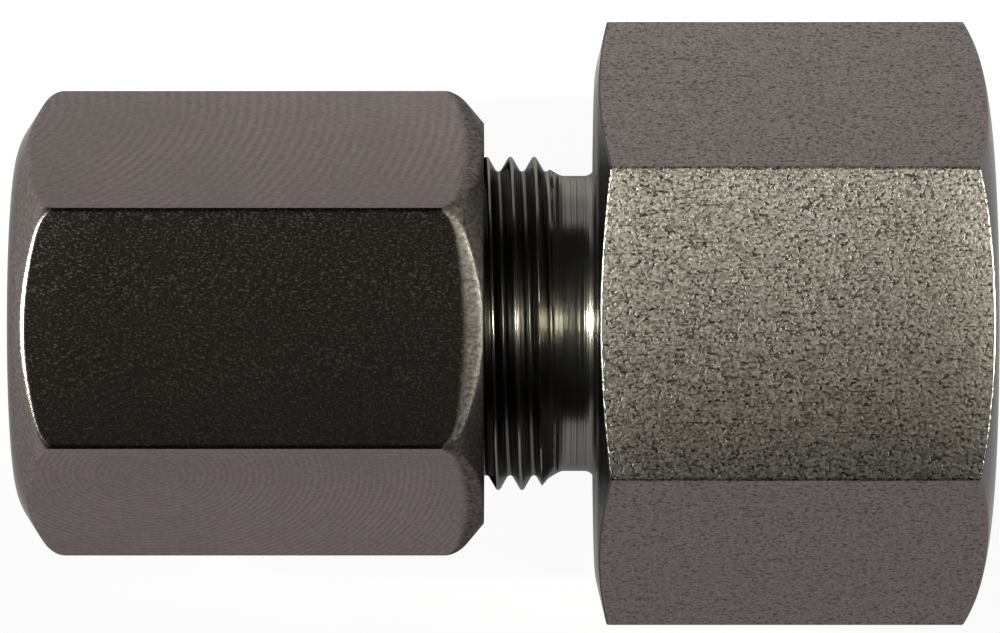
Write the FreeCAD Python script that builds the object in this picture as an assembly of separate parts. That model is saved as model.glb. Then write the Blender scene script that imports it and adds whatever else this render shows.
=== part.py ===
"""Straight tube union: a hexagonal body with a female port, a cutting ring and a union nut.

Millimetres. The fitting lies along X with the mouth of its port at the origin: the body, the
ring and the nut follow towards -X. Two flats of the body's hexagon face up and down, along Z.
The threads are plain walls at their major diameter, so that each mate has room.
"""
import FreeCAD, Part
import math
import os

Vector = FreeCAD.Vector
AXIS = Vector(1, 0, 0)
CENTRE = Vector(0, 0, 0)

# Hexagon of the body, its crowned port end and its bevelled shoulder
body_across_flats = 22.0
body_hex_length = 16.4
body_corner_rounding = 0.2
crown_land_diameter = 17.2
crown_radius = 9.5
shoulder_land_diameter = 21.2
shoulder_bevel_deg = 13.5

# Threaded stub of the body, with the undercut where its thread runs out
stub_length = 11.5
male_thread_diameter = 14.0
undercut_diameter = 12.4
undercut_width = 1.65
undercut_bevel = 0.35
undercut_slope_deg = 48.0
stub_tip_chamfer = 0.75

# Tube socket and flow bore
tube_diameter = 8.0
tube_clearance = 0.05
socket_depth = 7.0
cone_mouth_diameter = 10.1
cone_half_angle_deg = 12.0
flow_bore_diameter = 6.0

# Female port
port_thread_diameter = 13.16
port_thread_clearance = 0.02
port_thread_depth = 12.5
port_drill_diameter = 11.5
port_drill_beyond = 1.5
port_drill_point_deg = 118.0
port_countersink = 0.5

# Cutting ring
ring_length = 9.5
ring_front_diameter = 9.3
ring_waist_diameter = 10.6
ring_collar_diameter = 11.8
ring_collar_width = 1.1
ring_collar_slope_deg = 30.0
ring_back_diameter = 9.2
ring_seat_clearance = 0.05
ring_edge_land = 0.35
ring_groove_width = 1.5
ring_groove_depth = 0.3
ring_bore_chamfer = 0.3

# Union nut
nut_across_flats = 17.0
nut_length = 19.6
nut_clock_deg = 1.4
nut_corner_rounding = 0.3
exposed_thread_length = 4.65
nut_thread_clearance = 0.05
nut_thread_countersink = 0.4
nut_relief_width = 1.5
nut_relief_depth = 0.25
nut_chamber_diameter = 12.3
nut_chamber_length = 1.4
nut_cone_half_angle_deg = 45.0
nut_guide_clearance = 0.15
nut_guide_chamfer = 0.5
nut_inner_land_diameter = 16.8
nut_inner_chamfer_deg = 40.0
nut_inner_rounding = 1.6
nut_outer_land_diameter = 14.8
nut_outer_land_rounding = 3.0
nut_outer_chamfer_deg = 35.5
nut_outer_rounding = 1.6

# Places along the axis
shoulder_x = -body_hex_length
stub_tip_x = shoulder_x - stub_length
socket_bottom_x = stub_tip_x + socket_depth
nut_inner_x = shoulder_x - exposed_thread_length
nut_outer_x = nut_inner_x - nut_length

# Radii that two pieces share
male_thread_radius = male_thread_diameter / 2
tube_bore_radius = tube_diameter / 2 + tube_clearance
cone_mouth_radius = cone_mouth_diameter / 2
cone_slope = math.tan(math.radians(cone_half_angle_deg))
nut_cone_slope = math.tan(math.radians(nut_cone_half_angle_deg))

# Where the ring seats: its front in the body's cone, its back in the nut's cone
ring_front_radius = ring_front_diameter / 2
ring_back_radius = ring_back_diameter / 2
cone_seat_gap = ring_seat_clearance / math.cos(math.radians(cone_half_angle_deg))
nut_seat_gap = ring_seat_clearance / math.sin(math.radians(nut_cone_half_angle_deg))
ring_front_x = stub_tip_x + (cone_mouth_radius - ring_front_radius - cone_seat_gap) / cone_slope
ring_back_x = ring_front_x - ring_length


def outline(corners):
    """Closed outline through (x, radius, rounding) corners, with an arc at each rounded one."""
    points = [Vector(x, 0, radius) for x, radius, rounding in corners]
    edges = []
    stops = []
    for index, (x, radius, rounding) in enumerate(corners):
        here = points[index]
        if rounding == 0:
            stops.append((here, here))
            continue
        to_last = (points[index - 1] - here).normalize()
        to_next = (points[(index + 1) % len(points)] - here).normalize()
        inward = (to_last + to_next).normalize()
        half_angle = to_last.getAngle(to_next) / 2
        setback = rounding / math.tan(half_angle)
        first = here + to_last * setback
        last = here + to_next * setback
        middle = here + inward * (rounding / math.sin(half_angle) - rounding)
        stops.append((first, last))
        edges.append(Part.Arc(first, middle, last).toShape())
    for index, (first, last) in enumerate(stops):
        following = stops[(index + 1) % len(stops)][0]
        edges.append(Part.LineSegment(last, following).toShape())
    return Part.Wire(Part.__sortEdges__(edges))


def turned(corners):
    """Solid of revolution about the axis from an outline of (x, radius, rounding) corners."""
    return Part.Face(outline(corners)).revolve(CENTRE, AXIS, 360)


def hexagonal_bar(across_flats, low_x, high_x, corner_rounding, clock_deg):
    """Hexagonal bar along X with two flats across Z and its long edges rounded."""
    corner_radius = across_flats / math.sqrt(3)
    corners = []
    for step in range(7):
        angle = math.radians(60 * step + clock_deg)
        corners.append(Vector(low_x, corner_radius * math.cos(angle), corner_radius * math.sin(angle)))
    bar = Part.Face(Part.makePolygon(corners)).extrude(Vector(high_x - low_x, 0, 0))
    long_edges = [edge for edge in bar.Edges if abs(edge.tangentAt(edge.FirstParameter).x) > 0.5]
    return bar.makeFillet(corner_rounding, long_edges)


def body_blank():
    """Outside of the body: a turned hexagonal bar with crown, shoulder, undercut and stub."""
    crown_land = crown_land_diameter / 2
    shoulder_land = shoulder_land_diameter / 2
    blank_radius = crown_land + crown_radius
    bevel_depth = (blank_radius - shoulder_land) * math.tan(math.radians(shoulder_bevel_deg))
    neck = undercut_diameter / 2
    neck_end_x = shoulder_x - undercut_width
    undercut_slope = math.tan(math.radians(undercut_slope_deg))
    thread_start_x = neck_end_x - (male_thread_radius - neck) / undercut_slope
    blank = turned([
        (0, 0, 0),
        (0, blank_radius, crown_radius),
        (shoulder_x + bevel_depth, blank_radius, 0),
        (shoulder_x, shoulder_land, 0),
        (shoulder_x, neck + undercut_bevel, 0),
        (shoulder_x - undercut_bevel, neck, 0),
        (neck_end_x, neck, 0),
        (thread_start_x, male_thread_radius, 0),
        (stub_tip_x + stub_tip_chamfer, male_thread_radius, 0),
        (stub_tip_x, male_thread_radius - stub_tip_chamfer, 0),
        (stub_tip_x, 0, 0),
    ])
    return blank.common(hexagonal_bar(body_across_flats, stub_tip_x, 0, body_corner_rounding, 0))


def body_passage():
    """Everything that is bored out of the body: port, flow bore, tube socket and cone."""
    port_radius = port_thread_diameter / 2 + port_thread_clearance
    drill_radius = port_drill_diameter / 2
    flow_radius = flow_bore_diameter / 2
    thread_end_x = -port_thread_depth
    drill_end_x = thread_end_x - port_drill_beyond
    drill_slope = math.tan(math.radians(port_drill_point_deg / 2))
    drill_point_x = drill_end_x - (drill_radius - flow_radius) / drill_slope
    cone_end_x = stub_tip_x + (cone_mouth_radius - tube_bore_radius) / cone_slope
    return turned([
        (port_countersink, 0, 0),
        (port_countersink, port_radius + 2 * port_countersink, 0),
        (-port_countersink, port_radius, 0),
        (thread_end_x, port_radius, 0),
        (thread_end_x, drill_radius, 0),
        (drill_end_x, drill_radius, 0),
        (drill_point_x, flow_radius, 0),
        (socket_bottom_x, flow_radius, 0),
        (socket_bottom_x, tube_bore_radius, 0),
        (cone_end_x, tube_bore_radius, 0),
        (stub_tip_x, cone_mouth_radius, 0),
        (stub_tip_x - port_countersink, cone_mouth_radius, 0),
        (stub_tip_x - port_countersink, 0, 0),
    ])


def make_body():
    """The body in one piece, bored through."""
    return body_blank().cut(body_passage())


def make_cutting_ring():
    """Ring with a front cone, a collar with a 45 degree back and two cutting edges in its bore."""
    waist = ring_waist_diameter / 2
    collar = ring_collar_diameter / 2
    collar_slope = math.tan(math.radians(ring_collar_slope_deg))
    cone_end_x = ring_front_x - (waist - ring_front_radius) / cone_slope
    collar_back_x = ring_back_x + (collar - ring_back_radius) / nut_cone_slope
    collar_front_x = collar_back_x + ring_collar_width
    groove_front_x = ring_front_x - ring_edge_land
    groove_back_x = groove_front_x - ring_groove_width
    groove_radius = tube_bore_radius + ring_groove_depth
    return turned([
        (ring_front_x, tube_bore_radius, 0),
        (ring_front_x, ring_front_radius, 0),
        (cone_end_x, waist, 0),
        (collar_front_x + (collar - waist) / collar_slope, waist, 0),
        (collar_front_x, collar, 0),
        (collar_back_x, collar, 0),
        (ring_back_x, ring_back_radius, 0),
        (ring_back_x, tube_bore_radius + ring_bore_chamfer, 0),
        (ring_back_x + ring_bore_chamfer, tube_bore_radius, 0),
        (groove_back_x, tube_bore_radius, 0),
        (groove_front_x - ring_groove_depth, groove_radius, 0),
        (groove_front_x, tube_bore_radius, 0),
    ])


def nut_blank():
    """Outer form of the nut: a hexagon with its two ends turned and rounded."""
    blank_radius = nut_across_flats / math.sqrt(3)
    inner_land = nut_inner_land_diameter / 2
    outer_land = nut_outer_land_diameter / 2
    inner_depth = (blank_radius - inner_land) * math.tan(math.radians(nut_inner_chamfer_deg))
    outer_depth = (blank_radius - outer_land) * math.tan(math.radians(nut_outer_chamfer_deg))
    blank = turned([
        (nut_inner_x, 0, 0),
        (nut_inner_x, inner_land, 0),
        (nut_inner_x - inner_depth, blank_radius, nut_inner_rounding),
        (nut_outer_x + outer_depth, blank_radius, nut_outer_rounding),
        (nut_outer_x, outer_land, nut_outer_land_rounding),
        (nut_outer_x, 0, 0),
    ])
    bar = hexagonal_bar(nut_across_flats, nut_outer_x, nut_inner_x, nut_corner_rounding, nut_clock_deg)
    return blank.common(bar)


def nut_passage():
    """Thread bore, relief, ring chamber, 45 degree cone and tube guide bore of the nut."""
    thread_radius = male_thread_radius + nut_thread_clearance
    relief_radius = thread_radius + nut_relief_depth
    chamber_radius = nut_chamber_diameter / 2
    guide_radius = tube_diameter / 2 + nut_guide_clearance
    cone_line_x = ring_back_x - nut_seat_gap
    cone_end_x = cone_line_x - (ring_back_radius - guide_radius) / nut_cone_slope
    cone_start_x = cone_line_x + (chamber_radius - ring_back_radius) / nut_cone_slope
    chamber_start_x = cone_start_x + nut_chamber_length
    relief_start_x = chamber_start_x + nut_relief_width
    over = nut_guide_chamfer
    return turned([
        (nut_inner_x + over, 0, 0),
        (nut_inner_x + over, thread_radius + nut_thread_countersink + over, 0),
        (nut_inner_x - nut_thread_countersink, thread_radius, 0),
        (relief_start_x, thread_radius, 0),
        (relief_start_x - nut_relief_depth, relief_radius, 0),
        (chamber_start_x, relief_radius, 0),
        (chamber_start_x, chamber_radius, 0),
        (cone_start_x, chamber_radius, 0),
        (cone_end_x, guide_radius, 0),
        (nut_outer_x + nut_guide_chamfer, guide_radius, 0),
        (nut_outer_x - over, guide_radius + nut_guide_chamfer + over, 0),
        (nut_outer_x - over, 0, 0),
    ])


def make_union_nut():
    """The union nut, run down by hand until the ring is seated."""
    return nut_blank().cut(nut_passage())


def main():
    """Build each piece and write it to its own file."""
    os.makedirs("parts", exist_ok=True)
    pieces = {
        "body": make_body(),
        "cutting_ring": make_cutting_ring(),
        "union_nut": make_union_nut(),
    }
    for name, shape in pieces.items():
        shape.exportStep(os.path.join("parts", name + ".step"))
        box = shape.BoundBox
        print(name, shape.isValid(), len(shape.Solids), "solid", round(shape.Volume, 2), "mm3",
              [round(value, 3) for value in (box.XMin, box.XMax, box.YMin, box.YMax, box.ZMin, box.ZMax)])


main()
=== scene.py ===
# %% [markdown]
# # A straight tube union, seen from straight above
#
# The fitting has three turned steel pieces: a body with a large hexagon and a threaded stub, a
# long hexagonal nut that screws onto the stub, and a cutting ring inside the nut. The frame holds
# each piece at its real size and place. This lesson dresses them: crisp or soft edges where the
# real ones are crisp or soft, real helical threads, and a steel finish for each way of machining.

# %% Load the frame and keep its box
import math
import bpy
import mathutils
import numpy as np
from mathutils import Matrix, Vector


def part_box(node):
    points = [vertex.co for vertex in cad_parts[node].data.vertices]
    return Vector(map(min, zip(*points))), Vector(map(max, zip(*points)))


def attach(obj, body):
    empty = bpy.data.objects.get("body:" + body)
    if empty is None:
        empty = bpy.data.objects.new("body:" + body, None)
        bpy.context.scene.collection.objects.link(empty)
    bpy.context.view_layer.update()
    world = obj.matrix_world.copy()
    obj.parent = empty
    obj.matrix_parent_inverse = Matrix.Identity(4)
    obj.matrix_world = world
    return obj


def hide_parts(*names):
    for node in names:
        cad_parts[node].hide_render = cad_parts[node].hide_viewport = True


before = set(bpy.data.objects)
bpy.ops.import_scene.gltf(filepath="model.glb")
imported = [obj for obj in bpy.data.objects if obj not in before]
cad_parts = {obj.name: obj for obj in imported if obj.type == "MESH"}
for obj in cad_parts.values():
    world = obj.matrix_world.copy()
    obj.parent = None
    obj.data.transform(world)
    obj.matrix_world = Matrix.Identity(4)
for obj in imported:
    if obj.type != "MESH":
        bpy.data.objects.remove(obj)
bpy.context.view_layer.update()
MM = 0.001

body_low, body_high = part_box("body")
ring_low, ring_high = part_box("cutting_ring")
nut_low, nut_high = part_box("union_nut")
print("body from", body_low, "to", body_high)
print("nut from", nut_low, "to", nut_high)

# %% [markdown]
# The camera looks straight down the Z axis from 300 mm, close enough that the top flats look a
# little larger than the outline behind them. The lens follows from the scale of the picture at
# the fitting's axis, and the camera's place from where the port's end face lies in the picture.

# %% Camera
PHOTO_WIDTH_PX = 1000
PHOTO_HEIGHT_PX = 633
SCALE_PX_PER_MM = 23.8
PORT_FACE_PX = 985
AXIS_PX = 323.4
CAMERA_HEIGHT = 0.300
CLIP_START = 0.01
SENSOR_MM = 36

picture_width = PHOTO_WIDTH_PX / SCALE_PX_PER_MM * MM
camera_x = (PHOTO_WIDTH_PX / 2 - PORT_FACE_PX) / SCALE_PX_PER_MM * MM
camera_y = (AXIS_PX - PHOTO_HEIGHT_PX / 2) / SCALE_PX_PER_MM * MM
bpy.ops.object.camera_add(location=(camera_x, camera_y, CAMERA_HEIGHT), rotation=(0, 0, 0))
camera = bpy.context.object
camera.data.sensor_width = SENSOR_MM
camera.data.lens = SENSOR_MM * CAMERA_HEIGHT / picture_width
camera.data.clip_start = CLIP_START
bpy.context.scene.camera = camera
bpy.context.scene.view_settings.view_transform = 'Standard'
print("lens", round(camera.data.lens, 1), "mm")

# %% [markdown]
# Turned parts are drawn as half a section and spun round the axis. A section here is a list of
# (x, radius) points in millimetres, the unit of all sizes of the pieces. Straight stretches need
# only their ends, and round ones are arcs. Every corner of a machined part has a tiny broken edge
# that catches the light, so `eased` cuts the corners of a chain of points back by a few hundredths
# of a millimetre.

# %% Section helpers
SHARPEST_UNEASED_DEG = 20


def arc(centre_x, centre_radius, size, start_deg, end_deg, rows):
    """Points on an arc, with its angle counted from +X towards larger radius."""
    points = []
    for row in range(rows + 1):
        angle = math.radians(start_deg + (end_deg - start_deg) * row / rows)
        points.append((centre_x + size * math.cos(angle), centre_radius + size * math.sin(angle)))
    return points


def line(start, end, rows):
    """Points along a straight stretch, its two ends included."""
    shares = np.linspace(0, 1, rows + 1)
    return [(start[0] + (end[0] - start[0]) * s, start[1] + (end[1] - start[1]) * s) for s in shares]


def rounded_corner(before, corner, after, rounding, rows):
    """Points of the arc that rounds a corner of a section, from its one side to the other."""
    corner = np.array(corner, dtype=float)
    back = (before - corner) / np.linalg.norm(before - corner)
    ahead = (after - corner) / np.linalg.norm(after - corner)
    half_angle = math.acos(np.dot(back, ahead)) / 2
    centre = corner + (back + ahead) / np.linalg.norm(back + ahead) * rounding / math.sin(half_angle)
    first = corner + back * rounding / math.tan(half_angle) - centre
    last = corner + ahead * rounding / math.tan(half_angle) - centre
    turn = math.pi - 2 * half_angle
    points = []
    for share in np.linspace(0, 1, rows + 1):
        spoke = (math.sin((1 - share) * turn) * first + math.sin(share * turn) * last) / math.sin(turn)
        points.append(tuple(centre + spoke))
    return points


def eased(chain, amount):
    """An open chain of points with each sharp corner cut back and given a point in between."""
    corners = np.array(chain, dtype=float)
    result = [tuple(corners[0])]
    for back, here, ahead in zip(corners, corners[1:], corners[2:]):
        back_length = np.linalg.norm(back - here)
        ahead_length = np.linalg.norm(ahead - here)
        straightness = np.dot(back - here, ahead - here) / (back_length * ahead_length)
        if 180 - math.degrees(math.acos(np.clip(straightness, -1, 1))) < SHARPEST_UNEASED_DEG:
            result.append(tuple(here))
            continue
        cut = min(amount, back_length / 3, ahead_length / 3)
        first = here + (back - here) / back_length * cut
        last = here + (ahead - here) / ahead_length * cut
        result += [tuple(first), tuple(here / 2 + (first + last) / 4), tuple(last)]
    return result + [tuple(corners[-1])]


# %% [markdown]
# Spinning, as by hand: a plane merged to one point is the section's start, the other points are
# extruded from it one after another, and the spin operator turns the chain round X. A hexagon
# bends sharply at its six corners, so there the spin takes small steps and between them large ones.

# %% Draw a section and spin it
MERGE_DISTANCE = 0.0005 * MM
SMOOTH_ANGLE = math.radians(30)
EVEN_STEPS = 192
FLAT_STEPS = 46
CORNER_STEPS = 12


def draw_section(name, points):
    """A new object that holds the section as a chain of edges in the XY plane, in edit mode."""
    bpy.ops.object.select_all(action='DESELECT')
    bpy.ops.mesh.primitive_plane_add(size=MM, location=(0, 0, 0))
    piece = bpy.context.object
    piece.name = name
    piece.data.name = name
    bpy.ops.object.mode_set(mode='EDIT')
    bpy.ops.mesh.select_mode(type='VERT')
    bpy.ops.mesh.select_all(action='SELECT')
    bpy.ops.mesh.merge(type='CENTER')
    bpy.ops.transform.translate(value=(points[0][0] * MM, points[0][1] * MM, 0))
    for here, ahead in zip(points, points[1:]):
        step = ((ahead[0] - here[0]) * MM, (ahead[1] - here[1]) * MM, 0)
        bpy.ops.mesh.extrude_region_move(TRANSFORM_OT_translate={"value": step})
    return piece


def spin_section(name, points, corner_deg=None):
    """A closed solid of revolution about X; corner_deg is how wide the fine steps at a corner are."""
    piece = draw_section(name, points + points[:1])
    bpy.ops.mesh.select_all(action='SELECT')
    turns = [(2 * math.pi, EVEN_STEPS)]
    if corner_deg:
        half_corner = (math.radians(corner_deg) / 2, CORNER_STEPS // 2)
        between = (math.pi / 3 - math.radians(corner_deg), FLAT_STEPS)
        turns = [half_corner, between, half_corner] * 6
    for angle, steps in turns:
        bpy.ops.mesh.spin(steps=steps, angle=angle, center=(0, 0, 0), axis=(1, 0, 0))
    bpy.ops.mesh.select_all(action='SELECT')
    bpy.ops.mesh.remove_doubles(threshold=MERGE_DISTANCE)
    bpy.ops.mesh.normals_make_consistent(inside=False)
    bpy.ops.object.mode_set(mode='OBJECT')
    bpy.ops.object.shade_smooth_by_angle(angle=SMOOTH_ANGLE)
    print(name, "has", len(piece.data.polygons), "faces")
    return piece


# %% [markdown]
# The flats are milled after turning. Where a flat meets a turned end, its edge is an arc that is
# lower in the middle of the flat than at the corners, so no row of the spun mesh follows it. The
# way round that is to let the section depend on how far the hexagon reaches in each direction:
# the same rows, with the edge always on the same row. Each spun point then moves to the place
# that its own row has in the section through its own angle.

# %% Rows of an end, and the hexagon's reach
END_ROWS = 14
EDGE_ROWS = 4
FLAT_ROWS = 6
FIRST_FLAT_ROW = END_ROWS + EDGE_ROWS - 1
LAST_FLAT_ROW = FIRST_FLAT_ROW + FLAT_ROWS


def end_rows(face, reach, end_cut, flat_cut):
    """Rows from an end's land up to the flat at this reach. The edge is cut back by end_cut on the
    end's side and by flat_cut on the flat's, which is negative where the flat lies towards -X."""
    xs, radii = np.array(face).T
    lengths = np.concatenate([[0], np.cumsum(np.hypot(np.diff(xs), np.diff(radii)))])
    edge = np.interp(reach, radii, lengths)
    along = np.linspace(0, edge - end_cut, END_ROWS)
    result = list(zip(np.interp(along, lengths, xs), np.interp(along, lengths, radii)))
    corner = np.array([np.interp(reach, radii, xs), reach])
    start = np.array(result[-1])
    end = corner + np.array([flat_cut, 0])
    for share in np.linspace(0, 1, EDGE_ROWS + 1)[1:]:
        place = (1 - share) ** 2 * start + 2 * share * (1 - share) * corner + share ** 2 * end
        result.append(tuple(place))
    return result


def hexagon_reach(angle, across_flats, corner_blend):
    """How far a hexagon reaches from its axis at an angle from one corner, its corners eased."""
    from_flat = np.abs(np.mod(angle, math.pi / 3) - math.pi / 6)
    this_flat = across_flats / 2 / np.cos(from_flat)
    next_flat = across_flats / 2 / np.cos(math.pi / 3 - from_flat)
    overlap = np.clip(corner_blend - np.abs(next_flat - this_flat), 0, None)
    return np.minimum(this_flat, next_flat) - overlap ** 2 / corner_blend / 4


def read_places(mesh):
    """A mesh's points in millimetres, with their radius and angle about X."""
    places = np.empty(len(mesh.vertices) * 3)
    mesh.vertices.foreach_get("co", places)
    places = places.reshape(-1, 3) / MM
    return places, np.hypot(places[:, 1], places[:, 2]), np.arctan2(places[:, 2], places[:, 1])


def write_places(mesh, x, radius, angle):
    """Put a mesh's points at x and radius, in millimetres, and angle about X."""
    places = np.stack([x, radius * np.cos(angle), radius * np.sin(angle)], axis=1) * MM
    mesh.vertices.foreach_set("co", places.ravel())
    mesh.update()


def mill_flats(piece, section, across_flats, corner_blend):
    """Move each point of a spun blank to its row's place in the section through its angle. The
    flat_share attribute is then 1 on the flats and 0 on everything turned."""
    drawn = np.array(section(hexagon_reach(0, across_flats, corner_blend)))
    places, radius, angle = read_places(piece.data)
    to_rows = np.hypot(places[:, :1] - drawn[:, 0], radius[:, None] - drawn[:, 1])
    row = to_rows.argmin(axis=1)
    reach = np.round(hexagon_reach(angle, across_flats, corner_blend), 6)
    reaches, which = np.unique(reach, return_inverse=True)
    sections = np.array([section(value) for value in reaches])
    moved = sections[which, row]
    write_places(piece.data, moved[:, 0], moved[:, 1], angle)
    turned_and_flat = [FIRST_FLAT_ROW - 1, FIRST_FLAT_ROW, LAST_FLAT_ROW, LAST_FLAT_ROW + 1]
    flat_share = np.interp(row, turned_and_flat, [0, 1, 1, 0])
    piece.data.attributes.new("flat_share", 'FLOAT', 'POINT').data.foreach_set("value", flat_share)


# %% [markdown]
# The body is one piece: port, hexagon, undercut neck and stub. Its section runs from the crowned
# port end along the hexagon, down the shoulder's shallow bevel and the fillet into the neck, out
# to the tip, and back through the bores. Under the male thread the core is a hair thinner than
# the thread's roots, because the thread is a piece of its own.

# %% Sizes of the body
SHOULDER_X = -16.4
BODY_BLANK_R = 12.8
CROWN_LAND_R = 8.6
CROWN_SIZE = 9.5
CROWN_ROWS = 60
SHOULDER_LAND_R = 10.6
SHOULDER_LAND_ROUNDING = 3.0
SHOULDER_ROWS = 12
SHOULDER_BEVEL_DEG = 13.5
SHOULDER_INNER_R = 8.6
BODY_EDGE_CUT = 0.09
BODY_CORNER_BLEND = 0.12
BODY_CORNER_DEG = 3.0
NECK_R = 6.2
NECK_FILLET = 0.45
NECK_FILLET_ROWS = 10
NECK_END_X = SHOULDER_X - 1.42
RUNOUT_DEG = 30
RUNOUT_BEND_R = 6.5
RUNOUT_STEEP_DEG = 50
RUNOUT_FILLET = 0.5
RUNOUT_FILLET_ROWS = 5
THREAD_CREST_R = 7.0
THREAD_ROOT_R = 6.387
TIP_X = body_low[0] / MM
TIP_CHAMFER = 0.75
CORE_R = THREAD_ROOT_R - 0.01
PORT_R = 6.6
PORT_DEPTH = 12.5
PORT_DRILL_R = 5.75
PORT_COUNTERSINK = 0.5
PORT_FACE_R = 8.0
DRILL_END_X = -14.0
DRILL_POINT_X = -15.65
FLOW_R = 3.0
SOCKET_R = 4.05
SOCKET_END_X = TIP_X + 7.0
CONE_MOUTH_R = 5.05
CONE_LENGTH = 4.7
EASED = 0.06
body_flats = (body_high[2] - body_low[2]) / MM

# %% Section of the body
crown_end_deg = math.degrees(math.asin((BODY_BLANK_R - CROWN_LAND_R) / CROWN_SIZE))
crown = arc(-CROWN_SIZE, CROWN_LAND_R, CROWN_SIZE, 0, crown_end_deg, CROWN_ROWS)

bevel_slope = math.tan(math.radians(SHOULDER_BEVEL_DEG))
bevel_end = np.array([SHOULDER_X + (BODY_BLANK_R - SHOULDER_LAND_R) * bevel_slope, BODY_BLANK_R])
neck_start = np.array([SHOULDER_X, NECK_R])
land = (SHOULDER_X, SHOULDER_LAND_R)
shoulder = rounded_corner(neck_start, land, bevel_end, SHOULDER_LAND_ROUNDING, SHOULDER_ROWS)
shoulder.append(tuple(bevel_end))

runout_slope = math.tan(math.radians(RUNOUT_DEG))
core_start_x = NECK_END_X - (CORE_R - NECK_R) / runout_slope
core_tip_x = TIP_X + TIP_CHAMFER - (THREAD_CREST_R - CORE_R)

neck = [(SHOULDER_X, SHOULDER_INNER_R)]
neck += arc(SHOULDER_X - NECK_FILLET, NECK_R + NECK_FILLET, NECK_FILLET, 0, -90, NECK_FILLET_ROWS)
neck_end = (NECK_END_X, NECK_R)
runout_top = np.array([core_start_x, CORE_R])
stub = rounded_corner(neck_start, neck_end, runout_top, RUNOUT_FILLET, RUNOUT_FILLET_ROWS)
stub += [tuple(runout_top), (core_tip_x, CORE_R)]
stub += [(TIP_X, THREAD_CREST_R - TIP_CHAMFER), (TIP_X, CONE_MOUTH_R)]
bores = [(TIP_X + CONE_LENGTH, SOCKET_R), (SOCKET_END_X, SOCKET_R), (SOCKET_END_X, FLOW_R)]
bores += [(DRILL_POINT_X, FLOW_R), (DRILL_END_X, PORT_DRILL_R), (-PORT_DEPTH, PORT_DRILL_R)]
bores += [(-PORT_DEPTH, PORT_R), (-PORT_COUNTERSINK, PORT_R), (0, PORT_R + PORT_COUNTERSINK)]
inside_of_body = eased(neck + stub + bores + [(0, PORT_FACE_R)], EASED)


def body_section(reach):
    """The body's section where its hexagon reaches this far from the axis."""
    right = end_rows(crown, reach, BODY_EDGE_CUT, -BODY_EDGE_CUT)
    left = end_rows(shoulder, reach, BODY_EDGE_CUT, BODY_EDGE_CUT)
    return right[:-1] + line(right[-1], left[-1], FLAT_ROWS) + left[-2::-1] + inside_of_body


# %% Turn the body and mill its flats
body_corner_reach = float(hexagon_reach(0, body_flats, BODY_CORNER_BLEND))
body_metal = spin_section("body_metal", body_section(body_corner_reach), BODY_CORNER_DEG)
mill_flats(body_metal, body_section, body_flats, BODY_CORNER_BLEND)
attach(body_metal, "body")
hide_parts("body")

# %% [markdown]
# A thread is a section one pitch wide that the Screw modifier winds round the axis. The turns
# meet and merge into one helical skin. The real thread is cut into a turned blank, so the skin is
# then turned down wherever it stands outside the blank: at the chamfered tip, and at the neck,
# where the crests fade out. Its two ends are tucked into the metal and bridged, which closes it.

# %% Wind a thread
THREAD_STEPS = 180
TUCK_MARGIN = 0.002


def wind_thread(name, pitch, profile, start_x, turns):
    """A helical skin about X from (offset, radius) points that span one pitch, right-handed."""
    piece = draw_section(name, [(start_x + offset, radius) for offset, radius in profile])
    bpy.ops.object.mode_set(mode='OBJECT')
    screw = piece.modifiers.new("screw", 'SCREW')
    screw.axis = 'X'
    screw.angle = 2 * math.pi
    screw.screw_offset = pitch * MM
    screw.iterations = turns
    screw.steps = THREAD_STEPS
    screw.render_steps = THREAD_STEPS
    bpy.ops.object.modifier_apply(modifier="screw")
    bpy.ops.object.mode_set(mode='EDIT')
    bpy.ops.mesh.select_all(action='SELECT')
    bpy.ops.mesh.remove_doubles(threshold=MERGE_DISTANCE)
    bpy.ops.object.mode_set(mode='OBJECT')
    return piece


def turn_down(piece, blank):
    """Move each point of a thread's skin to the x and radius that blank gives for it."""
    places, radius, angle = read_places(piece.data)
    x, radius = blank(places[:, 0], radius)
    write_places(piece.data, x, radius, angle)


def close_thread(piece):
    """Bridge the skin's two tucked ends inside the metal and turn its faces outwards."""
    bpy.ops.object.mode_set(mode='EDIT')
    bpy.ops.mesh.select_mode(type='EDGE')
    bpy.ops.mesh.select_all(action='SELECT')
    bpy.ops.mesh.remove_doubles(threshold=MERGE_DISTANCE)
    bpy.ops.mesh.select_all(action='DESELECT')
    bpy.ops.mesh.select_non_manifold()
    bpy.ops.mesh.bridge_edge_loops()
    bpy.ops.mesh.select_all(action='SELECT')
    bpy.ops.mesh.normals_make_consistent(inside=False)
    bpy.ops.object.mode_set(mode='OBJECT')
    bpy.ops.object.shade_smooth_by_angle(angle=SMOOTH_ANGLE)
    print(piece.name, "has", len(piece.data.polygons), "faces")


# %% Cut the male thread
THREAD_PITCH = 1.0
CREST_AT_X = -19.95
FLANK_DEG = 60
ROOT_ROUNDING = 0.144
MALE_TURNS = 12
MALE_START_X = CREST_AT_X - 9 * THREAD_PITCH
MALE_TUCK_R = 5.7
MALE_TUCK_X = (TIP_X + 0.05, NECK_END_X + 1)
ROOT_ROWS = 5
FLANK_ROWS = 5
CREST_ROWS = 4


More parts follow.
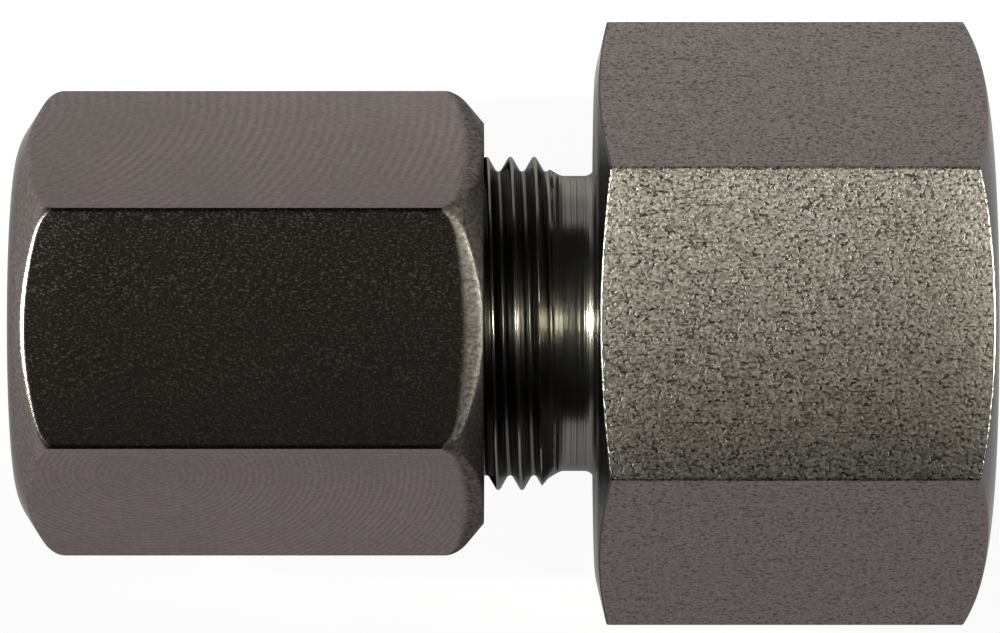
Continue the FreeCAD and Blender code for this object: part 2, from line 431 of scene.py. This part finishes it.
def thread_profile(pitch, root_r, crest_r):
    """One pitch of a profile with round roots and round crests, centred on its crest."""
    out = 1 if crest_r > root_r else -1
    root = arc(-pitch / 2, 0, ROOT_ROUNDING, -90, FLANK_DEG - 90, ROOT_ROWS)
    root = [(offset, root_r + out * (ROOT_ROUNDING + height)) for offset, height in root]
    rise = abs(crest_r - root[-1][1])
    slope = math.tan(math.radians(FLANK_DEG))
    crest_edge = root[-1][0] + rise / slope
    crest_rounding = -crest_edge * slope / (1 / math.cos(math.radians(FLANK_DEG)) - 1)
    crest = arc(0, -crest_rounding, crest_rounding, 90 + FLANK_DEG, 90, CREST_ROWS)
    crest = [(offset, crest_r + out * height) for offset, height in crest]
    rising = root + line(root[-1], crest[0], FLANK_ROWS)[1:-1] + crest
    return rising + [(-offset, radius) for offset, radius in reversed(rising[:-1])]


def male_blank(x, radius):
    """Turn the skin down to the neck, run-out cones, crest and tip chamfer of the stub."""
    bend_x = NECK_END_X - (RUNOUT_BEND_R - NECK_R) / runout_slope
    steep = RUNOUT_BEND_R + (bend_x - x) * math.tan(math.radians(RUNOUT_STEEP_DEG))
    runout = np.maximum(NECK_R + (NECK_END_X - x) * runout_slope, steep)
    chamfer = THREAD_CREST_R - TIP_CHAMFER + (x - TIP_X)
    blank = np.minimum(np.minimum(runout, chamfer), THREAD_CREST_R)
    turned = np.where(blank < CORE_R + TUCK_MARGIN, MALE_TUCK_R, np.minimum(radius, blank))
    return np.clip(x, *MALE_TUCK_X), turned


male_profile = thread_profile(THREAD_PITCH, THREAD_ROOT_R, THREAD_CREST_R)
male_thread = wind_thread("male_thread", THREAD_PITCH, male_profile, MALE_START_X, MALE_TURNS)
turn_down(male_thread, male_blank)
close_thread(male_thread)
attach(male_thread, "body")

# %% [markdown]
# The port's thread is a pipe thread, cut into the bore. Its skin has its crests towards the axis,
# it is opened by the countersink at the mouth, and its ends are tucked outwards into the wall.

# %% Cut the port thread
PORT_PITCH = 1.337
PORT_ROOT_R = PORT_R - 0.01
PORT_CREST_R = 5.72
PORT_THREAD_END_X = -12.2
PORT_TURNS = 12
PORT_TUCK_R = 7.3
PORT_TUCK_X = (-PORT_DEPTH - 0.3, -0.3)


def port_blank(x, radius):
    """Open the skin to the countersink, and tuck it into the wall past both of its ends."""
    countersink = PORT_R + PORT_COUNTERSINK + x
    bored = np.maximum(radius, countersink)
    past_end = (countersink > PORT_ROOT_R - TUCK_MARGIN) | (x < PORT_THREAD_END_X)
    return np.clip(x, *PORT_TUCK_X), np.where(past_end, PORT_TUCK_R, bored)


port_profile = thread_profile(PORT_PITCH, PORT_ROOT_R, PORT_CREST_R)
port_start_x = -PORT_DEPTH - PORT_PITCH
port_thread = wind_thread("port_thread", PORT_PITCH, port_profile, port_start_x, PORT_TURNS)
turn_down(port_thread, port_blank)
close_thread(port_thread)
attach(port_thread, "body")

# %% [markdown]
# The nut is a long hexagon. Both ends are turned: the outer one to a flat cone with a rounded
# edge, and the inner one to a large rounding that runs into its face. Inside are the thread, its
# relief, the ring's chamber, the 45 degree cone that presses on the ring, and the tube's bore.

# %% Sizes of the union nut
NUT_INNER_X = nut_high[0] / MM
NUT_OUTER_X = nut_low[0] / MM
NUT_FLATS = 17.0
NUT_CLOCK_DEG = 1.4
NUT_BLANK_R = NUT_FLATS / math.sqrt(3)
NUT_CORNER_BLEND = 0.19
NUT_CORNER_DEG = 4.8
OUTER_END_CUT = 0.15
OUTER_FLAT_CUT = (0.2, 0.15)
INNER_END_CUT = 0.12
INNER_FLAT_CUT = (0.85, 0.2)
INNER_BORE_FACE_R = 7.6
INNER_FACE_R = 7.7
INNER_LAND_R = 8.4
INNER_DEG = 40.0
INNER_ROUNDING = 1.6
INNER_ROUNDING_ROWS = 60
OUTER_FACE_R = 5.5
OUTER_LAND_R = 7.4
OUTER_LAND_ROUNDING = 3.0
OUTER_LAND_ROWS = 10
OUTER_DEG = 32.5
OUTER_ROUNDING = 1.2
OUTER_ROUNDING_ROWS = 40
NUT_BORE_R = 7.05
NUT_COUNTERSINK = 0.4
RELIEF_R = 7.3
RELIEF_START_X = -31.38
RELIEF_STEP = 0.25
CHAMBER_R = 6.15
CHAMBER_START_X = -32.88
NUT_CONE_START_X = -34.28
GUIDE_R = 4.15
NUT_CONE_END_X = NUT_CONE_START_X - (CHAMBER_R - GUIDE_R)
GUIDE_CHAMFER = 0.5

# %% Section of the nut
outer_slope = math.tan(math.radians(OUTER_DEG))
outer_land = np.array([NUT_OUTER_X, OUTER_LAND_R])
outer_corner = np.array([NUT_OUTER_X + (NUT_BLANK_R - OUTER_LAND_R) * outer_slope, NUT_BLANK_R])
inner_slope = math.tan(math.radians(INNER_DEG))
inner_corner = np.array([NUT_INNER_X - (NUT_BLANK_R - INNER_LAND_R) * inner_slope, NUT_BLANK_R])
inner_land = np.array([NUT_INNER_X, INNER_LAND_R])
guide_mouth = np.array([NUT_OUTER_X, GUIDE_R + GUIDE_CHAMFER])

outer_end = rounded_corner(guide_mouth, outer_land, outer_corner, OUTER_LAND_ROUNDING, OUTER_LAND_ROWS)
outer_end += rounded_corner(outer_land, outer_corner, inner_corner, OUTER_ROUNDING, OUTER_ROUNDING_ROWS)
inner_end = [(NUT_INNER_X, INNER_FACE_R), tuple(inner_land)]
inner_end += rounded_corner(inner_land, inner_corner, outer_corner, INNER_ROUNDING, INNER_ROUNDING_ROWS)

bores = [(NUT_INNER_X, INNER_BORE_FACE_R), (NUT_INNER_X, NUT_BORE_R + NUT_COUNTERSINK)]
bores += [(NUT_INNER_X - NUT_COUNTERSINK, NUT_BORE_R), (RELIEF_START_X, NUT_BORE_R)]
bores += [(RELIEF_START_X - RELIEF_STEP, RELIEF_R), (CHAMBER_START_X, RELIEF_R)]
bores += [(CHAMBER_START_X, CHAMBER_R), (NUT_CONE_START_X, CHAMBER_R), (NUT_CONE_END_X, GUIDE_R)]
bores += [(NUT_OUTER_X + GUIDE_CHAMFER, GUIDE_R), tuple(guide_mouth), (NUT_OUTER_X, OUTER_FACE_R)]
inside_of_nut = eased(bores, EASED)


def nut_section(reach):
    """The nut's section where its hexagon reaches this far from the axis."""
    reaches = (NUT_FLATS / 2, NUT_BLANK_R)
    outer_flat_cut = np.interp(reach, reaches, OUTER_FLAT_CUT)
    inner_flat_cut = np.interp(reach, reaches, INNER_FLAT_CUT)
    left = end_rows(outer_end, reach, OUTER_END_CUT, outer_flat_cut)
    right = end_rows(inner_end, reach, INNER_END_CUT, -inner_flat_cut)
    return left[:-1] + line(left[-1], right[-1], FLAT_ROWS) + right[-2::-1] + inside_of_nut


# %% Turn the nut, mill its flats and clock it
nut_corner_reach = float(hexagon_reach(0, NUT_FLATS, NUT_CORNER_BLEND))
nut_metal = spin_section("nut_metal", nut_section(nut_corner_reach), NUT_CORNER_DEG)
mill_flats(nut_metal, nut_section, NUT_FLATS, NUT_CORNER_BLEND)
nut_metal.rotation_euler.x = math.radians(NUT_CLOCK_DEG)
bpy.ops.object.transform_apply(rotation=True)
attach(nut_metal, "union_nut")
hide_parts("union_nut")

# %% Cut the nut's thread
NUT_CREST_R = 6.51
NUT_ROOT_R = NUT_BORE_R - 0.01
NUT_TURNS = 13
NUT_TUCK_R = 7.7
NUT_TUCK_X = (RELIEF_START_X - 0.2, NUT_INNER_X - 0.3)
NUT_THREAD_START_X = CREST_AT_X - 12.5 * THREAD_PITCH


def nut_blank(x, radius):
    """Open the skin to the nut's countersink and tuck it into the wall past both of its ends."""
    countersink = NUT_BORE_R + NUT_COUNTERSINK + (x - NUT_INNER_X)
    bored = np.maximum(radius, countersink)
    past_end = (countersink > NUT_ROOT_R - TUCK_MARGIN) | (x < RELIEF_START_X)
    return np.clip(x, *NUT_TUCK_X), np.where(past_end, NUT_TUCK_R, bored)


nut_profile = thread_profile(THREAD_PITCH, NUT_ROOT_R, NUT_CREST_R)
nut_thread = wind_thread("nut_thread", THREAD_PITCH, nut_profile, NUT_THREAD_START_X, NUT_TURNS)
turn_down(nut_thread, nut_blank)
close_thread(nut_thread)
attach(nut_thread, "union_nut")

# %% [markdown]
# The cutting ring is turned only. It has a front cone that goes into the stub, a collar whose
# back sits in the nut's 45 degree cone, and two cutting edges in its bore with a groove between.

# %% Turn the cutting ring
RING_FRONT_X = ring_high[0] / MM
RING_BACK_X = ring_low[0] / MM
RING_FRONT_R = 4.65
RING_WAIST_R = 5.3
RING_COLLAR_R = ring_high[1] / MM
RING_BACK_R = 4.6
RING_CONE_SLOPE = math.tan(math.radians(12))
RING_COLLAR_SLOPE = math.tan(math.radians(30))
RING_COLLAR_WIDTH = 1.1
RING_EDGE_LAND = 0.35
RING_GROOVE_WIDTH = 1.5
RING_GROOVE_DEPTH = 0.3
RING_BORE_CHAMFER = 0.3
RING_FACE_STEP = 0.2

collar_back_x = RING_BACK_X + RING_COLLAR_R - RING_BACK_R
collar_front_x = collar_back_x + RING_COLLAR_WIDTH
waist_end_x = collar_front_x + (RING_COLLAR_R - RING_WAIST_R) / RING_COLLAR_SLOPE
cone_end_x = RING_FRONT_X - (RING_WAIST_R - RING_FRONT_R) / RING_CONE_SLOPE
groove_front_x = RING_FRONT_X - RING_EDGE_LAND
groove_back_x = groove_front_x - RING_GROOVE_WIDTH

ring_outside = [(RING_FRONT_X, RING_FRONT_R - RING_FACE_STEP), (RING_FRONT_X, RING_FRONT_R)]
ring_outside += [(cone_end_x, RING_WAIST_R), (waist_end_x, RING_WAIST_R)]
ring_outside += [(collar_front_x, RING_COLLAR_R), (collar_back_x, RING_COLLAR_R)]
ring_outside += [(RING_BACK_X, RING_BACK_R), (RING_BACK_X, SOCKET_R + RING_BORE_CHAMFER)]
ring_bore = [(RING_BACK_X + RING_BORE_CHAMFER, SOCKET_R), (groove_back_x, SOCKET_R)]
ring_bore += [(groove_front_x - RING_GROOVE_DEPTH, SOCKET_R + RING_GROOVE_DEPTH)]
ring_bore += [(groove_front_x, SOCKET_R), (RING_FRONT_X, SOCKET_R)]
ring_bore += [(RING_FRONT_X, RING_FRONT_R - 2 * RING_FACE_STEP)]
ring_metal = spin_section("ring_metal", eased(ring_outside + ring_bore, EASED))
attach(ring_metal, "cutting_ring")
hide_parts("cutting_ring")

# %% [markdown]
# All finishes are built from nodes on the Principled shader. Patterns read Object coordinates,
# which are metres here, so noise with 4000 spots to a metre has spots a quarter of a millimetre wide.
# Turned surfaces have fine lines that run round the axis: their noise reads only the distance
# along the axis and the distance from it, which are the same all the way round.

# %% Finish helpers
def add_node(finish, kind, values=None, **settings):
    """A shader node with its settings, and with its inputs set to values or linked to sockets."""
    made = finish.node_tree.nodes.new(kind)
    for name, setting in settings.items():
        setattr(made, name, setting)
    for key, value in (values or {}).items():
        if isinstance(value, bpy.types.NodeSocket):
            finish.node_tree.links.new(value, made.inputs[key])
        else:
            made.inputs[key].default_value = value
    return made


def calculate(finish, operation, *values):
    """The result of a Math node."""
    return add_node(finish, "ShaderNodeMath", dict(enumerate(values)), operation=operation).outputs[0]


def spread(finish, value, low, high, to_low=0.0, to_high=1.0):
    """A value that goes smoothly from to_low to to_high as the input goes from low to high."""
    values = {"Value": value, "From Min": low, "From Max": high, "To Min": to_low, "To Max": to_high}
    node = add_node(finish, "ShaderNodeMapRange", values, interpolation_type='SMOOTHSTEP')
    return node.outputs["Result"]


def object_place(finish):
    """Object coordinates."""
    return add_node(finish, "ShaderNodeTexCoord").outputs["Object"]


def noise(finish, place, spots_per_m, detail=2.0):
    """Noise from 0 to 1, with this many spots to a metre along each of its three coordinates."""
    stretched = add_node(finish, "ShaderNodeMapping", {"Vector": place, "Scale": spots_per_m})
    values = {"Vector": stretched.outputs["Vector"], "Scale": 1.0, "Detail": detail}
    return add_node(finish, "ShaderNodeTexNoise", values).outputs["Fac"]


def lathe_place(finish):
    """Distance along the axis and distance from it, as coordinates."""
    split = add_node(finish, "ShaderNodeSeparateXYZ", {0: object_place(finish)})
    across = add_node(finish, "ShaderNodeCombineXYZ", {1: split.outputs[1], 2: split.outputs[2]})
    radius = add_node(finish, "ShaderNodeVectorMath", {0: across.outputs[0]}, operation='LENGTH')
    joined = add_node(finish, "ShaderNodeCombineXYZ", {0: split.outputs[0], 1: radius.outputs["Value"]})
    return joined.outputs[0]


def mixed(finish, factor, low, high):
    """A value from low to high."""
    values = {"Factor": factor, "A": low, "B": high}
    return add_node(finish, "ShaderNodeMix", values).outputs["Result"]


def mixed_colour(finish, factor, low, high):
    """A colour from low to high, each of them a tuple or a socket."""
    low, high = (end if isinstance(end, bpy.types.NodeSocket) else (*end, 1) for end in (low, high))
    return add_node(finish, "ShaderNodeMix", {0: factor, 6: low, 7: high}, data_type='RGBA').outputs[2]


def milled_share(finish):
    """The flat_share attribute: 1 on milled flats, 0 on turned surfaces."""
    return add_node(finish, "ShaderNodeAttribute", attribute_name="flat_share").outputs["Fac"]


def new_steel(name, colour, roughness):
    """A metal material, darker at a grazing look than bare steel, and its Principled shader."""
    finish = bpy.data.materials.new(name)
    finish.use_nodes = True
    shader = finish.node_tree.nodes["Principled BSDF"]
    shader.inputs["Metallic"].default_value = 1.0
    shader.inputs["Base Color"].default_value = (*colour, 1)
    shader.inputs["Roughness"].default_value = roughness
    shader.inputs["Specular Tint"].default_value = (EDGE_TINT, EDGE_TINT, EDGE_TINT, 1)
    return finish, shader


def drive(finish, shader, colour, roughness):
    """Link a colour and a roughness to the shader."""
    finish.node_tree.links.new(colour, shader.inputs["Base Color"])
    finish.node_tree.links.new(roughness, shader.inputs["Roughness"])


def raise_bump(finish, shader, height, depth):
    """Link a height in units of depth, in metres, to the shader's normal."""
    bump = add_node(finish, "ShaderNodeBump", {"Height": height, "Distance": depth, "Strength": 1.0})
    finish.node_tree.links.new(bump.outputs[0], shader.inputs["Normal"])


# %% Turned steel, for threads, ring and every turned surface
STEEL = (0.146, 0.121, 0.118)
TURNED_STEEL = (0.142, 0.130, 0.121)
# Painted shade: a darker colour for the shoulder beside the neck.
SHOULDER_SHADE_STEEL = (0.065, 0.062, 0.06)
DARK_STEEL = tuple(0.3 * share for share in STEEL)
PALE_STEEL = tuple(1.7 * share for share in STEEL)
STEEL_SHARE = 0.5
EDGE_TINT = 0.5
TURNED_ROUGHNESS = 0.21
LINES_PER_M = (9000, 9000, 0)
LINE_DEPTH = 0.006 * MM


def turned_height(finish):
    """Fine lines round the axis, as a height around 0.5."""
    return noise(finish, lathe_place(finish), LINES_PER_M, detail=3)


turned_steel, turned_shader = new_steel("turned_steel", TURNED_STEEL, TURNED_ROUGHNESS)
raise_bump(turned_steel, turned_shader, turned_height(turned_steel), LINE_DEPTH)
for piece in (port_thread, nut_thread, ring_metal):
    piece.data.materials.append(turned_steel)

# %% [markdown]
# The roots of the bare thread are painted darker than its crests, as painted shade in the
# grooves, and the tool leaves them rougher. The distance from the axis tells root from crest, and
# the run-out past the last root is painted like the crests.

# %% Threaded steel
# Painted shade: the thread's roots get a darker colour than its crests.
ROOT_SHADE = 0.7
ROOT_ROUGHNESS = 0.32
ROOT_END_R = THREAD_ROOT_R + 0.25
LAST_ROOT_X = -18.75
LAST_ROOT_BLEND = 0.1

threaded_steel, threaded_shader = new_steel("threaded_steel", TURNED_STEEL, TURNED_ROUGHNESS)
place = add_node(threaded_steel, "ShaderNodeSeparateXYZ", {0: lathe_place(threaded_steel)})
above_root = spread(threaded_steel, place.outputs[1], THREAD_ROOT_R * MM, ROOT_END_R * MM)
blend_start = (LAST_ROOT_X - LAST_ROOT_BLEND) * MM
blend_end = (LAST_ROOT_X + LAST_ROOT_BLEND) * MM
past_thread = spread(threaded_steel, place.outputs[0], blend_start, blend_end)
above_root = calculate(threaded_steel, 'MAXIMUM', above_root, past_thread)
# Painted shade in the roots of the thread.
shaded_root_steel = tuple(ROOT_SHADE * share for share in TURNED_STEEL)
colour = mixed_colour(threaded_steel, above_root, shaded_root_steel, TURNED_STEEL)
roughness = spread(threaded_steel, above_root, 0, 1, ROOT_ROUGHNESS, TURNED_ROUGHNESS)
drive(threaded_steel, threaded_shader, colour, roughness)
raise_bump(threaded_steel, threaded_shader, turned_height(threaded_steel), LINE_DEPTH)
male_thread.data.materials.append(threaded_steel)

# %% [markdown]
# The nut's flats are ground almost to a mirror. From above they show the dark above the camera,
# with only faint pale specks, and in the side flats the arcs of the cutter can just be seen. They
# are rings of a wave texture round a point beside the nut, one for the flats on each side of the
# axis. The flat_share attribute mixes this finish with the turned one at the ends, which is
# rougher at the inner end than at the outer one, and painted darker there as painted shade.

# %% Nut finish
FAR_ARC_CENTRE = (-43.5 * MM, 9.0 * MM, 1.3 * MM)
NEAR_ARC_CENTRE = (-35.1 * MM, -6.16 * MM, 6.33 * MM)
FAR_ARCS_PER_M = 1 / (0.42 * MM)
NEAR_ARCS_PER_M = 1 / (0.27 * MM)
WAVE_SCALE_OF_ONE_RING = 2 * math.pi / 20
ARC_PATCHES_PER_M = (160, 160, 160)
ARC_PATCH_EDGES = (0.35, 0.65)
FAINTEST_ARCS = 0.3
NUT_GRAIN_PER_M = (5200, 7000, 7000)
NUT_SPECKS_PER_M = (8500, 12000, 12000)
NUT_SPECK_EDGES = (0.42, 0.75)
NUT_TONE = STEEL_SHARE - 0.29
GRAIN_TONE = 0.5
ARC_TONE = 0.15
END_GRAIN_TONE = 1.2
# Painted shade: the inner end of the nut gets a darker colour.
INNER_END_SHADE = -0.4
END_GRAIN_HEIGHT = 6.0
NUT_BUMP_DEPTH = 0.0012 * MM
OUTER_FINISH_X = -36 * MM
INNER_FINISH_X = -26 * MM
NUT_FLAT_ROUGHNESS = 0.13
NUT_SPECK_ROUGHNESS = 0.25
NUT_OUTER_ROUGHNESS = 0.27
NUT_INNER_ROUGHNESS = 0.5

nut_steel, nut_shader = new_steel("nut_steel", STEEL, NUT_FLAT_ROUGHNESS)
flat_share = milled_share(nut_steel)
here = object_place(nut_steel)
split = add_node(nut_steel, "ShaderNodeSeparateXYZ", {0: here})
along = split.outputs[0]
far_side = calculate(nut_steel, 'GREATER_THAN', split.outputs[1], 0)

centres = {0: far_side, 4: NEAR_ARC_CENTRE, 5: FAR_ARC_CENTRE}
centre = add_node(nut_steel, "ShaderNodeMix", centres, data_type='VECTOR').outputs[1]
from_centre = add_node(nut_steel, "ShaderNodeVectorMath", {0: here, 1: centre}, operation='SUBTRACT')
more_arcs = FAR_ARCS_PER_M - NEAR_ARCS_PER_M
arcs_per_m = calculate(nut_steel, 'MULTIPLY_ADD', far_side, more_arcs, NEAR_ARCS_PER_M)
ring_scale = calculate(nut_steel, 'MULTIPLY', arcs_per_m, WAVE_SCALE_OF_ONE_RING)
rings = {"Vector": from_centre.outputs[0], "Scale": ring_scale}
rings.update({"Distortion": 1.5, "Detail": 1.0, "Detail Scale": 2.0})
arcs = add_node(nut_steel, "ShaderNodeTexWave", rings, wave_type='RINGS', rings_direction='SPHERICAL')
patches = spread(nut_steel, noise(nut_steel, here, ARC_PATCHES_PER_M), *ARC_PATCH_EDGES, FAINTEST_ARCS, 1)
arc_share = calculate(nut_steel, 'MULTIPLY', arcs.outputs["Fac"], patches)

grain = noise(nut_steel, here, NUT_GRAIN_PER_M, detail=3)
specks = spread(nut_steel, noise(nut_steel, here, NUT_SPECKS_PER_M), *NUT_SPECK_EDGES)
flat_tone = calculate(nut_steel, 'MULTIPLY_ADD', grain, GRAIN_TONE, NUT_TONE)
flat_tone = calculate(nut_steel, 'MULTIPLY_ADD', arc_share, ARC_TONE, flat_tone)
# Painted shade, darker towards the nut's inner end.
end_tone = spread(nut_steel, along, OUTER_FINISH_X, INNER_FINISH_X, 0, INNER_END_SHADE)
end_tone = calculate(nut_steel, 'MULTIPLY_ADD', grain, END_GRAIN_TONE, end_tone)
tone = mixed(nut_steel, flat_share, end_tone, flat_tone)
colour = mixed_colour(nut_steel, tone, DARK_STEEL, PALE_STEEL)

flat_roughness = spread(nut_steel, specks, 0, 1, NUT_FLAT_ROUGHNESS, NUT_SPECK_ROUGHNESS)
end_roughness = (NUT_OUTER_ROUGHNESS, NUT_INNER_ROUGHNESS)
end_roughness = spread(nut_steel, along, OUTER_FINISH_X, INNER_FINISH_X, *end_roughness)
drive(nut_steel, nut_shader, colour, mixed(nut_steel, flat_share, end_roughness, flat_roughness))

flat_height = calculate(nut_steel, 'ADD', arc_share, grain)
end_height = calculate(nut_steel, 'MULTIPLY_ADD', grain, END_GRAIN_HEIGHT, turned_height(nut_steel))
height = mixed(nut_steel, flat_share, end_height, flat_height)
raise_bump(nut_steel, nut_shader, height, NUT_BUMP_DEPTH)
nut_metal.data.materials.append(nut_steel)

# %% [markdown]
# The body's flats are coarser: the bar's drawn surface, with small pits stretched along the bar.
# Pits are noise above a threshold. They are darker and sunk, and finer, shallower grain between
# them breaks the lamp's reflection up into a silvery sparkle: its pale spots are rough and spread
# the light, and its dark ones are smoother. The shoulder beside the neck is painted darker still,
# as painted shade for the shaded floor that it mirrors between the nut and the body.

# %% Body finish
PITS_PER_M = (5000, 6300, 6300)
PIT_EDGES = (0.54, 0.64)
BODY_GRAIN_PER_M = (8500, 9500, 9500)
SCRATCHES_PER_M = (450, 13000, 13000)
SCRATCH_EDGES = (0.58, 0.7)
PIT_HEIGHT = -0.3
SCRATCH_HEIGHT = 0.2
FLAT_HEIGHT = 0.7
TURNED_HEIGHT = 1.5
BODY_BUMP_DEPTH = 0.03 * MM
BODY_TONE = STEEL_SHARE - 0.62
BODY_GRAIN_TONE = 1.4
SCRATCH_TONE = -0.2
PIT_TONE = -0.32
ROUGHNESS_TONES = (0.1, 0.85)
BODY_DARK_ROUGHNESS = 0.285
BODY_PALE_ROUGHNESS = 0.43
SHOULDER_BLEND = 0.05
SHOULDER_END_X = (-15 * MM, -14 * MM)

body_steel, body_shader = new_steel("body_steel", STEEL, TURNED_ROUGHNESS)
flat_share = milled_share(body_steel)
here = object_place(body_steel)
pits = spread(body_steel, noise(body_steel, here, PITS_PER_M), *PIT_EDGES)
grain = noise(body_steel, here, BODY_GRAIN_PER_M, detail=3)
scratches = noise(body_steel, here, SCRATCHES_PER_M)

rough_height = calculate(body_steel, 'MULTIPLY_ADD', scratches, SCRATCH_HEIGHT, grain)
flat_height = calculate(body_steel, 'MULTIPLY_ADD', pits, PIT_HEIGHT, rough_height)
flat_height = calculate(body_steel, 'MULTIPLY', flat_height, FLAT_HEIGHT)
end_height = calculate(body_steel, 'MULTIPLY', turned_height(body_steel), TURNED_HEIGHT)
height = mixed(body_steel, flat_share, end_height, flat_height)
raise_bump(body_steel, body_shader, height, BODY_BUMP_DEPTH)

tone = calculate(body_steel, 'MULTIPLY_ADD', grain, BODY_GRAIN_TONE, BODY_TONE)
scratch_share = spread(body_steel, scratches, *SCRATCH_EDGES)
tone = calculate(body_steel, 'MULTIPLY_ADD', scratch_share, SCRATCH_TONE, tone)
tone = calculate(body_steel, 'MULTIPLY_ADD', pits, PIT_TONE, tone)
flat_roughness = spread(body_steel, tone, *ROUGHNESS_TONES, BODY_DARK_ROUGHNESS, BODY_PALE_ROUGHNESS)
flat_colour = mixed_colour(body_steel, tone, DARK_STEEL, PALE_STEEL)

along = add_node(body_steel, "ShaderNodeSeparateXYZ", {0: here}).outputs[0]
blend_start = (SHOULDER_X - SHOULDER_BLEND) * MM
blend_end = (SHOULDER_X + SHOULDER_BLEND) * MM
past_neck = spread(body_steel, along, blend_start, blend_end)
near_neck = spread(body_steel, along, *SHOULDER_END_X, 1, 0)
shoulder_shade_share = calculate(body_steel, 'MULTIPLY', past_neck, near_neck)
# The shoulder beside the neck gets a darker colour: painted shade.
end_colour = mixed_colour(body_steel, shoulder_shade_share, TURNED_STEEL, SHOULDER_SHADE_STEEL)
colour = mixed_colour(body_steel, flat_share, end_colour, flat_colour)
drive(body_steel, body_shader, colour, mixed(body_steel, flat_share, TURNED_ROUGHNESS, flat_roughness))
body_metal.data.materials.append(body_steel)

# %% [markdown]
# Two columns of small lamps stand at the ends of the fitting, left and right of the camera, in a
# dark room with a white floor. Polished flats that face the camera mirror the dark, the sloping
# ones mirror the floor, and only rounded edges, turned lines and pits turn far enough to catch a
# lamp. That contrast is what makes steel look like steel. A grid in front of each lamp narrows its
# beam, which is aimed past the far side, so the light fades towards the near side.

# %% Lamps
LAMP_COLOUR = (0.91, 1.0, 0.83)
LAMP_DISTANCE = 0.095
LAMP_SIDE = 0.0035
LAMP_WIDTH = 0.013
LAMP_HEIGHT = 0.034
BEAM_TARGET = mathutils.Vector((camera_x, 0.0145, 0.008))
BEAM_SPREAD = math.radians(32)
LEFT_LAMPS = {28: 0.010, 48: 0.025}
RIGHT_LAMPS = {20: 0.006, 38: 0.007, 54: 0.0063}


def add_lamp(name, side, elevation_deg, watts):
    """A gridded lamp at this elevation, at the fitting's -X end where side is -1, or its +X end."""
    elevation = math.radians(elevation_deg)
    place = mathutils.Vector((camera_x, LAMP_SIDE, 0))
    place += mathutils.Vector((side * math.cos(elevation), 0, math.sin(elevation))) * LAMP_DISTANCE
    bpy.ops.object.light_add(type='AREA', location=place)
    lamp = bpy.context.object
    lamp.name = name
    lamp.rotation_euler = (place - BEAM_TARGET).to_track_quat('Z', 'Y').to_euler()
    lamp.data.shape = 'RECTANGLE'
    lamp.data.size = LAMP_WIDTH
    lamp.data.size_y = LAMP_HEIGHT
    lamp.data.energy = watts
    lamp.data.spread = BEAM_SPREAD
    lamp.data.color = LAMP_COLOUR
    lamp.visible_camera = False


for elevation_deg, watts in LEFT_LAMPS.items():
    add_lamp(f"left_lamp_{elevation_deg}", -1, elevation_deg, watts)
for elevation_deg, watts in RIGHT_LAMPS.items():
    add_lamp(f"right_lamp_{elevation_deg}", 1, elevation_deg, watts)

# %% [markdown]
# The room is white up to the horizon, dark above it and a little paler right overhead. The floor
# glows by itself: evenly for the camera, and in mirrors only where it is open to the room, since
# close to the fitting the fitting keeps the light off it.

# %% World and floor
FLOOR_SIZE = 4.0
FLOOR_COLOUR = (0.15, 0.15, 0.15, 1)
FLOOR_GLOW = 0.95
MIRRORED_GLOW = 0.95
SHADED_GLOW = 0.03
SHADE_REACH = 20 * MM
SHADE_EDGES = (0.2, 0.75)
SHADE_SAMPLES = 8
WHITE = (1, 1, 1, 1)
HORIZON = (0.07, 0.16)
DARK_ROOM = (0.015, 0.015, 0.013, 1)
OVERHEAD = (0.92, 0.985)
CEILING = (0.078, 0.082, 0.067, 1)
world = bpy.data.worlds.new("studio")
bpy.context.scene.world = world
world.use_nodes = True
sky = add_node(world, "ShaderNodeTexCoord").outputs["Generated"]
height = add_node(world, "ShaderNodeSeparateXYZ", {0: sky}).outputs[2]
ramp = add_node(world, "ShaderNodeValToRGB", {0: height})
ramp.color_ramp.elements[0].position = HORIZON[0]
ramp.color_ramp.elements[0].color = WHITE
ramp.color_ramp.elements[1].position = HORIZON[1]
ramp.color_ramp.elements[1].color = DARK_ROOM
ramp.color_ramp.elements.new(OVERHEAD[0]).color = DARK_ROOM
ramp.color_ramp.elements.new(OVERHEAD[1]).color = CEILING
world.node_tree.links.new(ramp.outputs[0], world.node_tree.nodes["Background"].inputs["Color"])

bpy.ops.mesh.primitive_plane_add(size=FLOOR_SIZE, location=(0, 0, body_low[2]))
floor = bpy.context.object
floor.name = "floor"

floor_finish = bpy.data.materials.new("floor")
floor_finish.use_nodes = True
floor_shader = floor_finish.node_tree.nodes["Principled BSDF"]
floor_shader.inputs["Base Color"].default_value = FLOOR_COLOUR
floor_shader.inputs["Roughness"].default_value = 1.0
floor_shader.inputs["Specular IOR Level"].default_value = 0.0
floor_shader.inputs["Emission Color"].default_value = WHITE
rays = add_node(floor_finish, "ShaderNodeLightPath").outputs
shade = {"Distance": SHADE_REACH}
shade_node = add_node(floor_finish, "ShaderNodeAmbientOcclusion", shade, samples=SHADE_SAMPLES)
mirrored = calculate(floor_finish, 'MAXIMUM', rays["Is Glossy Ray"], rays["Is Transmission Ray"])
open_glow = spread(floor_finish, shade_node.outputs["AO"], *SHADE_EDGES, SHADED_GLOW, MIRRORED_GLOW)
mirrored_glow = calculate(floor_finish, 'MULTIPLY', mirrored, open_glow)
glow = calculate(floor_finish, 'MULTIPLY_ADD', rays["Is Camera Ray"], FLOOR_GLOW, mirrored_glow)
floor_finish.node_tree.links.new(glow, floor_shader.inputs["Emission Strength"])
floor.data.materials.append(floor_finish)
